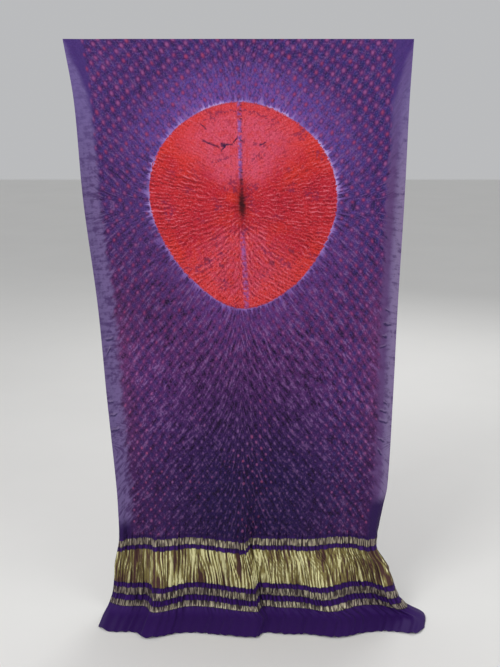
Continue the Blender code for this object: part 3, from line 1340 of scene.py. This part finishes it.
@dataclass(frozen=True)
class DyedSilk:
    """The cloth's one finish: tie-dyed silk with woven gold bands."""

    half_width: float
    dots: Dots
    crinkles: Crinkles
    dyes_and_shading: SilkDyesAndShading = SilkDyesAndShading()
    gold: GoldWeave = GoldWeave()
    strokes: Strokes = Strokes()
    surface: Surface = Surface()
    dye_end: tuple[float, float] = (1.385, 1.391)
    lower_field: tuple[float, float] = (0.45, 0.85)
    waist: tuple[float, float] = (1.320, 1.365)
    waist_rise: float = 0.065
    crease_span: tuple[float, float] = (-0.6, 0.6)
    knot_run: float = 0.422
    arc_share: float = 0.24
    patch_share: float = 0.55
    bloom_share: float = 0.55
    band_edge: float = 0.0008
    wide_band: Band = Band("wide band", 1.4315, 1.542)
    stripes: tuple[Band, ...] = (
        Band("first stripe", 1.396, 1.4185),
        Band("second stripe", 1.5575, 1.5815),
        Band("third stripe", 1.5995, 1.6205),
    )
    stains: tuple[Stain, ...] = (
        Stain("long streak", -0.092, 0.262, 0.030, 0.0042, 0.36),
        Stain("blot", -0.056, 0.266, 0.009, 0.0085, 0.0),
        Stain("blot's leg", -0.053, 0.272, 0.012, 0.0034, -0.9),
        Stain("short streak", -0.039, 0.265, 0.013, 0.0036, -0.10),
        Stain("crease mark", -0.021, 0.253, 0.009, 0.0040, -1.10),
        Stain("upper mark", -0.111, 0.219, 0.011, 0.0030, 0.75),
        Stain("right mark", 0.058, 0.262, 0.012, 0.0030, -0.45),
    )
    blooms: tuple[Stain, ...] = (
        Stain("lower right spot", 0.078, 0.579, 0.011, 0.0095, 0.2),
        Stain("far lower right spot", 0.138, 0.547, 0.011, 0.0080, 0.3),
        Stain("lower left spot", -0.119, 0.570, 0.011, 0.0075, 0.0),
        Stain("small left spot", -0.076, 0.586, 0.009, 0.0070, 0.0),
    )
    patches: tuple[Stain, ...] = (
        Stain("left pale patch", -0.042, 0.330, 0.036, 0.040, 0.0),
        Stain("right pale patch", 0.026, 0.318, 0.040, 0.042, 0.0),
        Stain("upper pale patch", -0.010, 0.212, 0.085, 0.030, 0.0, 2.0),
    )
    arcs: tuple[Stain, ...] = (
        Stain("right cap", 0.034, 0.262, 0.044, 0.007, 0.20, 1.6),
        Stain("left cap", -0.062, 0.302, 0.040, 0.006, -0.30, 1.6),
        Stain("upper left arc", -0.075, 0.186, 0.050, 0.007, -0.35, 2.6),
        Stain("upper right arc", 0.060, 0.192, 0.055, 0.007, 0.30, 2.6),
        Stain("top arc", -0.010, 0.176, 0.070, 0.006, 0.0, 2.2),
        Stain("left of knot", -0.040, 0.378, 0.024, 0.016, 0.0),
        Stain("right of knot", 0.025, 0.376, 0.026, 0.016, -0.15),
        Stain("lower right marks", 0.095, 0.565, 0.060, 0.016, 0.55),
        Stain("lower left marks", -0.110, 0.575, 0.050, 0.016, -0.45),
    )

    def field(self, p: Place) -> tuple[Signal, Signal]:
        """The violet field with its dots, and painted shade and highlight on its crinkles.

        Args:
            p: The places on the cloth.

        Returns:
            The colour, and the height of the dots.
        """
        d, lower = self.dyes_and_shading, p.down.ease(*self.lower_field)
        floor = p.down.ease(0.75, 1.25) * p.away.ease(0.42, 0.10, 0.4, 1.0)
        sides = p.margin.ease(-0.09, -0.01) * lower * p.down.ease(1.26, 1.08) * 0.6
        hem = p.margin.ease(-0.050, -0.014) * lower
        below = p.below * p.edge.ease(0.12, 0.02)
        cells = p.cloud(42.0, 2.0, 0.6) * 1.2 + p.cell
        navy = cells.ease(0.72, 1.30) * (p.low * p.away.ease(0.34, 0.16)).pick(0.88, 0.30)
        navy = navy * p.down.ease(0.50, 0.80, 1.0, 0.8) * hem.pick(1.0, 0.25) * below.pick(1.0, 0.35)
        upper, mottle = p.down.ease(0.66, 0.40), p.cloud(66.0, 3.0, 0.7)
        # darker cells between the dots in the lower field, in the dark violet that also serves as the painted
        # valley shade
        dark = cells.ease(0.80, 1.45) * p.low * hem.pick(0.60, 0.1) * p.away.ease(0.30, 0.12, 0.35, 1.0)
        glow = p.edge.ease(0.15, 0.01) * p.up.ease(0.1, 0.95, 0.20, 0.92)
        flecks = p.cloud(105.0, wide=1.5).ease(0.48, 0.60) * glow.ease(0.05, 0.5) * 0.85
        soft = p.down.ease(0.10, 0.75, 0.75, 0.95) * p.corner.pick(1.0, 0.65)
        # painted shade: darker violet in the valleys of the fine crinkles, where lift is low
        valley_shade = p.lift.ease(0.47, 0.16) * soft * glow.ease(0.0, 0.8, 1.0, 0.55)
        valley_shade = valley_shade * p.away.ease(0.24, 0.38, 1.0, 0.70) * below.pick(1.0, 0.75)
        colour = layered(
            p.down.ease(0.32, 0.85, 0.0, 0.9).blend(d.violet, d.plum),
            (sides, d.side_mauve),
            (floor, d.deep),
            (navy * p.across.ease(-0.25, -0.05, 0.68, 1.0), d.navy),
            (mottle.ease(0.53, 0.66) * upper * 0.55, d.glow_blue),
            (mottle.ease(0.47, 0.34) * upper * 0.60, d.deep),
            (dark, d.violet_dark_and_valley_shade),
            (glow, d.glow),
            (flecks, d.glow_blue),
            (valley_shade, d.violet_dark_and_valley_shade),
            # painted highlight: paler violet on the crinkle ridges, where lift is high
            (p.lift.ease(0.54, 0.84) * soft * floor.pick(0.82, 0.46), d.violet_ridge_highlight),
            # fine grit of painted shade and painted highlight grains
            *p.grit(d.violet_dark_and_valley_shade, d.violet_ridge_highlight, p.down.ease(0.40, 1.10, 0.46, 0.22)),
            (p.away.ease(0.417, 0.429) * p.down.ease(0.30, 0.16) * 0.85, d.side_plain),
        )
        colour, heart = self.dotted(p, colour)
        left = p.across.ease(-0.06, -0.28) * p.down.ease(0.90, 0.66) * p.down.ease(0.20, 0.50, 0.45, 1.0)
        factor = p.down.ease(0.80, 1.37, 1.0, 0.64) * p.down.ease(0.75, 0.45, 1.0, 0.96)
        factor = factor * left.pick(1.0, 0.86) * (p.low * p.away).ease(0.08, 0.30, 1.0, 1.14)
        return colour.shade(factor), heart

    def dotted(self, p: Place, under: Signal) -> tuple[Signal, Signal]:
        """The field's dots: round above, drawn out in the middle, and small and round near the end.

        Args:
            p: The places on the cloth.
            under: The field's colour.

        Returns:
            The colour, and the height of the dots.
        """
        d = self.dyes_and_shading
        by_crease = abs(p.crease).ease(0.11, 0.03) * p.down.ease(0.95, 1.10) * 0.18
        by_margin = p.away.ease(0.22, 0.36, 0.0, 0.20)
        faint = p.low * (p.cloud(8.0, 2.0) + by_crease + by_margin).ease(0.68, 0.50)
        size = p.down.ease(0.15, 0.9, 0.0042, 0.0032) + p.chance * 0.0014
        size = size + p.corner * 0.0006 + p.down.ease(0.95, 1.15) * 0.0009
        seen = p.edge.ease(*self.dots.disc_gap) * p.down.ease(*self.dots.last_run)
        seen = seen * p.away.ease(*self.dots.last_side)
        gap = p.dot - size
        ring = gap.ease(0.0034, -0.0014) * seen * p.low.pick(0.55, 0.0)
        heart = gap.ease(0.0006, -0.0044) * seen
        lower = p.cloud(60.0).ease(0.35, 0.65, 0.20, 0.85) + by_crease * 1.4 + by_margin * 0.6
        lower = lower + p.down.ease(0.92, 1.12) * 0.20
        strong = p.down.ease(0.45, 0.75) * (lower - 0.82) + 0.82
        strong = strong * p.chance.ramp(0.0, 1.0, 0.72, 1.0)
        strong = strong * (p.below * p.edge.ease(0.09, 0.03)).pick(1.0, 0.4)
        pink = (p.chance2.ease(0.10, 0.48) + p.low * 0.40).blend(d.dot_red, d.dot_pink)
        return layered(under, (ring, d.dot_ring), (heart * strong, faint.blend(pink, d.dot_pale))), heart

    def disc(self, p: Place) -> Signal:
        """The red disc, with painted shade and highlight on its crinkles, its crease, its stains and its dark
        knot.

        Args:
            p: The places on the cloth.

        Returns:
            The colour.
        """
        d = self.dyes_and_shading
        warm = (p.cloud(9.0) + p.edge.ease(-0.06, -0.01) * 0.22).ease(0.44, 0.66)
        pale = p.upright.ease(0.55, 0.95) * p.reach.ease(0.04, 0.10) * p.edge.ease(-0.004, -0.06, 0.35, 0.92)
        mottle = p.cloud(48.0, 3.0, 0.65).ease(0.46, 0.60) * p.upright.ease(0.15, 0.75)
        top = (p.up * p.upright).ease(0.1, 0.7, 1.0, 0.62)
        clusters = p.cloud(19.0)
        for arc in self.arcs:
            clusters = clusters + p.mark(arc) * self.arc_share
        blotch = p.cloud(95.0, 2.0, 0.6).ease(0.42, 0.58) * clusters.ease(0.54, 0.70)
        return layered(
            (warm * p.upright.ease(0.25, 0.65, 0.3, 1.0)).blend(d.red, d.orange_red),
            (pale * p.up.ease(-0.3, 0.3, 0.6, 1.0), d.rose),
            *((p.mark(patch) * self.patch_share, d.rose) for patch in self.patches),
            (mottle * p.up.ease(-0.5, 0.5, 0.6, 0.4), d.orange_red),
            # painted shade in the crinkle valleys, then painted highlight on their ridges
            (p.lift.ease(0.46, 0.18) * 0.72 * top, d.red_valley_shade),
            (p.lift.ease(0.54, 0.82) * 0.76 * top, d.red_ridge_highlight),
            # fine grit of painted shade and painted highlight grains
            *p.grit(d.red_valley_shade, d.red_ridge_highlight, 0.42),
            (blotch * p.lift.ease(0.70, 0.45, 0.1, 0.68), d.blotch),
            *self.disc_crease(p),
            *self.knot(p),
        )

    def disc_crease(self, p: Place) -> list[Layer]:
        """The pale and dark line down the disc's crease, and the ink-dark stains.

        Args:
            p: The places on the cloth.

        Returns:
            The layers, in order.
        """
        d, links = self.dyes_and_shading, p.cloud(170.0, wide=0.4)
        pale = (abs(p.crease + 0.0022) / p.up.ease(*self.crease_span, 0.0120, 0.0085)).ease(1.0, 0.2)
        pale = pale * p.dashes.ease(0.36, 0.56) * p.up.ease(*self.crease_span, 0.52, 0.70)
        pale = pale * p.reach.ease(0.05, 0.10)
        dark = abs(p.crease - 0.0018).ease(0.0058, 0.0020) * p.up.ease(*self.crease_span, 0.30, 0.75)
        dark = dark * links.ease(0.56, 0.42) * p.dashes.ease(0.42, 0.62, 1.0, 0.3)
        worn = p.dashes.ease(0.30, 0.55, 1.0, 0.75)
        layers = [(pale, links.ease(0.42, 0.60).blend(d.halo, d.glow_blue)), (dark, d.ink)]
        layers += [(p.mark(stain) * worn, d.ink) for stain in self.stains]
        return layers + [(p.mark(bloom) * self.bloom_share, d.ink) for bloom in self.blooms]

    def knot(self, p: Place) -> list[Layer]:
        """The dark knot in the disc's middle, the dark line above it, and painted shade in the dip round it.

        Args:
            p: The places on the cloth.

        Returns:
            The layers, in order.
        """
        d, tall, wide = self.dyes_and_shading, p.down - self.knot_run, p.crease * 1.55
        line = abs(p.crease).ease(0.0080, 0.0015) * tall.ease(-0.125, -0.050) * tall.ease(0.035, 0.010)
        near = (wide * wide + tall * tall * 0.26).math("SQRT") + (p.streak + 0.5) * self.strokes.knot_edge
        return [
            (line * p.dashes.ease(0.30, 0.52, 0.9, 0.35), d.knot),
            # painted shade: darker red round the knot, where the cloth dips into the pinch
            (near.ease(0.060, 0.012) * 0.62, d.red_valley_shade),
            (near.ease(0.031, 0.014) * p.dashes.ease(0.25, 0.6, 0.5, 0.95), d.knot),
        ]

    def halo(self, p: Place) -> list[Layer]:
        """The pale, ragged ring round the disc, and its paler core.

        Args:
            p: The places on the cloth.

        Returns:
            The two layers.
        """
        patchy, spikes = p.cloud(15.0), p.side.join(p.up).noise(24.0, 2.0, 0.6)
        spikes = spikes + p.streak * self.strokes.halo_edge
        length = spikes.ease(0.40, 0.72) * p.up.ease(-1.0, 0.1, 0.036, 0.042)
        faded = p.edge / (length + 0.0045)
        ring = faded.ease(1.0, -0.5) * patchy.ease(0.30, 0.60, 0.40, 1.0) * p.up.ease(-1.0, 0.0, 0.8, 1.0)
        core = faded.ease(0.45, -0.1) * patchy.ease(0.35, 0.62, 0.10, 0.95) * p.up.ease(-0.7, 0.4, 0.20, 0.95)
        return [(ring, self.dyes_and_shading.halo), (core, self.dyes_and_shading.halo_core)]

    def margin(self, p: Place) -> Signal:
        """The pale margins outside the creases, with their soft pleats painted as shade, painted sheen on
        their rims and tops, and short creases.

        Args:
            p: The places on the cloth.

        Returns:
            The colour.
        """
        d, right = self.dyes_and_shading, p.across.ease(-0.1, 0.1)
        level = p.down + p.away * p.down.ease(1.02, 1.14, -0.12, -1.0)
        # painted shade: the soft pleats are drawn only as darker margin_shade where this noise is low
        pleats = (p.away * 0.30).join(level).noise(95.0, 2.0, 0.55) - 0.5
        share = p.cloud(34.0, 3.0, 0.6, 2.2) + p.streak * p.down.ease(0.80, 1.10, 0.30, 0.90) + pleats * 1.30
        # painted sheen: the right margin's outer rim is lighter; the left rim takes the darker margin_edge
        # colour
        rim = p.margin.ease(0.015, 0.046) * right.pick(0.50, 0.90) * share.ease(0.20, 0.50, 0.35, 1.0)
        return layered(
            share.ease(0.26, 0.62).blend(d.margin_shade, d.margin),
            (p.margin.ease(0.040, 0.012) * right.pick(0.15, 0.85), d.margin_inner),
            (rim, right.blend(d.margin_edge, d.margin_sheen)),
            # painted sheen: paler margins near the top
            (p.down.ease(0.42, 0.10, 0.0, 0.6), d.margin_top_sheen),
            *(layer for w in self.crinkles.wrinkles for layer in self.crease_line(p, w)),
            ((p.down + right * self.waist_rise).ease(*self.waist), d.waist),
        )

    def crease_line(self, p: Place, w: Wrinkle) -> list[Layer]:
        """One short crease in a margin, drawn as painted light and shade.

        Args:
            p: The places on the cloth.
            w: The crease.

        Returns:
            The layer of painted highlight beside it, and that of the painted shade along its line.
        """
        right, off = p.off_line(w, w.across * self.half_width, p.wrinkle_sway)
        along, line = abs(right).ease(w.reach * 1.1, w.reach * 0.5), (w.breadth * 1.3, w.breadth * 0.2)
        # painted highlight beside the crease, and painted shade along its line
        pale = abs(off + w.breadth * 1.5).ease(*line) * along * 0.45
        return [(pale, self.dyes_and_shading.margin_sheen), (abs(off).ease(*line) * along * 0.85, self.dyes_and_shading.crease_shade)]

    def metal(self, p: Place) -> tuple[Signal, Signal, Signal]:
        """The gold bands, with their painted sheen.

        Args:
            p: The places on the cloth.

        Returns:
            The colour, the share of gold from 0 to 1, and the height of the threads.
        """
        g, edge, wide = self.gold, self.band_edge, self.wide_band
        threads = (p.pleat * 15.0).join(p.down).noise(12.0, 3.0, 0.6)
        patches = (p.pleat * 5.0).join(p.down).noise(6.0) - 0.5
        glints = (p.pleat * 8.0).join(p.down).noise(45.0, 2.0, 0.6) - 0.5
        # painted sheen: this value picks dull, middle or bright gold, rising on the gathers' ridges, threads,
        # glints and patches and towards the middle
        sheen = p.relief * 0.20 + threads + patches * 0.85 + glints * 0.45
        sheen = sheen + p.away.ease(0.40, 0.22, -0.08, 0.05)
        ticks = p.pleat.join(p.down * 0.1).noise(235.0).ease(0.45, 0.535)
        above, below = p.down.ease(wide.start, wide.start - 0.01), p.down.ease(wide.end, wide.end + 0.01)
        stripe = above.math("MAXIMUM", below)
        layers = [(sheen.ease(0.53, 0.70), g.bright), (stripe * 0.6, g.pale), (stripe * ticks * 0.88, g.tick)]
        share = None
        for _, start, end in (wide, *self.stripes):
            here = p.down.ease(start - edge, start + edge) * p.down.ease(end + edge, end - edge)
            share = here if share is None else share + here
            layers += [(abs(p.down - border).ease(0.0030, 0.0) * 0.7, g.edge) for border in (start, end)]
        return layered(sheen.ease(0.31, 0.49).blend(g.dull, g.middle), *layers), share, threads

    def finish(self) -> bpy.types.Material:
        """Builds the material.

        Returns:
            The finished material.
        """
        material, tree, shader = new_material("dyed_silk")
        d, s, p = self.dyes_and_shading, self.surface, Place(tree, self.dots, self.strokes)
        violet, dot_height = self.field(p)
        gold_colour, gold, threads = self.metal(p)
        dyed = p.down.ease(*self.dye_end, 1.0, 0.0)
        fringe = p.margin + (p.cloud(14.0) - 0.5) * 0.016 + p.streak * p.down.ease(0.15, 0.50, 0.010, 0.040)
        fringe = fringe * p.down.ease(*self.lower_field, 1.0, 0.6)
        # painted shade: the plain end is darker violet in the valleys of its gathers
        plain = (p.relief * 0.5 + 0.5).ease(0.0, 0.9).blend(d.plain_valley_shade, d.plain_violet)
        colour = layered(
            layered(violet, *self.halo(p)),
            (fringe.ease(-0.009, 0.009), self.margin(p)),
            (p.edge.ease(0.0015, -0.0015), self.disc(p)),
            (p.down.ease(*self.dye_end), layered(plain, (p.down.ease(1.396, 1.392) * 0.8, d.waist))),
            (gold, gold_colour),
        )
        weave = p.cloud(s.weave_scale, 2.0, 0.6).bump(s.weave_depth)
        strokes = (p.lift.ease(0.1, 0.9) * dyed).bump(s.stroke_depth, weave)
        relief = dot_height.bump(s.dot_depth, (threads * gold).bump(s.thread_depth, strokes))
        looks = {
            "Base Color": colour,
            "Metallic": gold * s.metallic,
            "Roughness": gold.pick(s.silk_rough, s.gold_rough),
            "Specular IOR Level": s.specular,
            "Sheen Weight": s.sheen,
            "Sheen Roughness": s.sheen_rough,
            "Normal": relief,
        }
        for name, value in looks.items():
            feed(tree, shader.inputs[name], value)
        return material


# ---------------------------------------------------------------- the studio
class Lamp(NamedTuple):
    """A soft square light: where it stands, what it points at, its side and its power in watts."""

    name: str
    place: tuple[float, float, float]
    aim: tuple[float, float, float]
    side: float
    watts: float


@dataclass
class Studio:
    """A plain pale floor, soft lights and the camera."""

    floor_side: float = 30.0
    floor_gap: float = 0.0004
    camera_place: tuple[float, float, float] = (0.0295, -2.42, -0.149)
    camera_tilt: float = 75.4
    lens: float = 48.58
    air: tuple[float, float, float, float] = (0.93, 0.94, 0.96, 1.0)
    air_strength: float = 0.53
    floor_rough: float = 0.8
    lamps: tuple[Lamp, ...] = (
        Lamp("key_light", (-1.9, -2.6, 1.5), (0.0, 0.0, -0.6), 1.8, 70),
        Lamp("fill_light", (2.4, -2.4, 0.2), (0.0, 0.0, -0.9), 2.0, 22),
        Lamp("back_light", (1.2, 3.0, 1.2), (0.0, 0.0, -0.8), 2.0, 40),
    )

    def floor(self, level: float) -> None:
        """Lays the floor.

        Args:
            level: Its height.
        """
        half, z = self.floor_side / 2, level - self.floor_gap
        corners = [(-half, -half, z), (half, -half, z), (half, half, z), (-half, half, z)]
        mesh = bpy.data.meshes.new("studio_floor")
        mesh.from_pydata(corners, [], [(0, 1, 2, 3)])
        material, tree, shader = new_material("pale_floor")
        cloud = add_node(tree, "TexCoord", output="Object").noise(1.2, 4.0, 0.6)
        feed(tree, shader.inputs["Base Color"], cloud.blend(screen_to_linear(230, 229, 226), screen_to_linear(238, 237, 234)))
        shader.inputs["Roughness"].default_value = self.floor_rough
        mesh.materials.append(material)
        texture = bpy.data.objects.new("studio_floor", mesh)
        bpy.context.scene.collection.objects.link(texture)

    def lamp(
        self, name: str, place: Sequence[float], aim: Sequence[float], side: float, watts: float
    ) -> None:
        """Sets up a soft square light.

        Args:
            name: Its name.
            place: Where it stands.
            aim: What it points at.
            side: The length of its side.
            watts: Its power.
        """
        light = bpy.data.lights.new(name, "AREA")
        light.shape, light.size, light.energy = "SQUARE", side, watts
        holder = bpy.data.objects.new(name, light)
        way = Vector(aim) - Vector(place)
        holder.location = place
        holder.rotation_euler = way.to_track_quat("-Z", "Y").to_euler()
        bpy.context.scene.collection.objects.link(holder)

    def build(self, level: float) -> None:
        """Builds the floor, the lights, the surroundings and the camera.

        Args:
            level: The floor's height.
        """
        self.floor(level)
        for lamp in self.lamps:
            self.lamp(*lamp)
        world = bpy.data.worlds.new("studio")
        world.use_nodes = True
        background = world.node_tree.nodes["Background"]
        background.inputs["Color"].default_value = self.air
        background.inputs["Strength"].default_value = self.air_strength
        scene = bpy.context.scene
        scene.world = world
        scene.view_settings.view_transform = "Standard"
        lens = bpy.data.cameras.new("camera")
        lens.lens = self.lens
        camera = bpy.data.objects.new("camera", lens)
        camera.location = self.camera_place
        camera.rotation_euler = (math.radians(self.camera_tilt), 0.0, 0.0)
        scene.collection.objects.link(camera)
        scene.camera = camera


def main() -> None:
    """Builds the cloth and the studio, in order."""
    logging.basicConfig(level=logging.INFO, format="%(name)s: %(message)s")
    hang, dots, crinkles = Hang(), Dots(), Crinkles()
    cloth = ClothSheet(hang, TiedDisc(), dots, crinkles)
    sheet = cloth.build()
    sheet.data.materials.append(DyedSilk(hang.width / 2, dots, crinkles).finish())
    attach(sheet, "root")
    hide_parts("bandhani_cloth")
    log.info("%s: %d faces", sheet.name, len(sheet.data.polygons))
    Studio().build(CAD_BOX[0].z)
    log.info("studio: floor, three lights and camera")


if __name__ == "__main__":
    main()
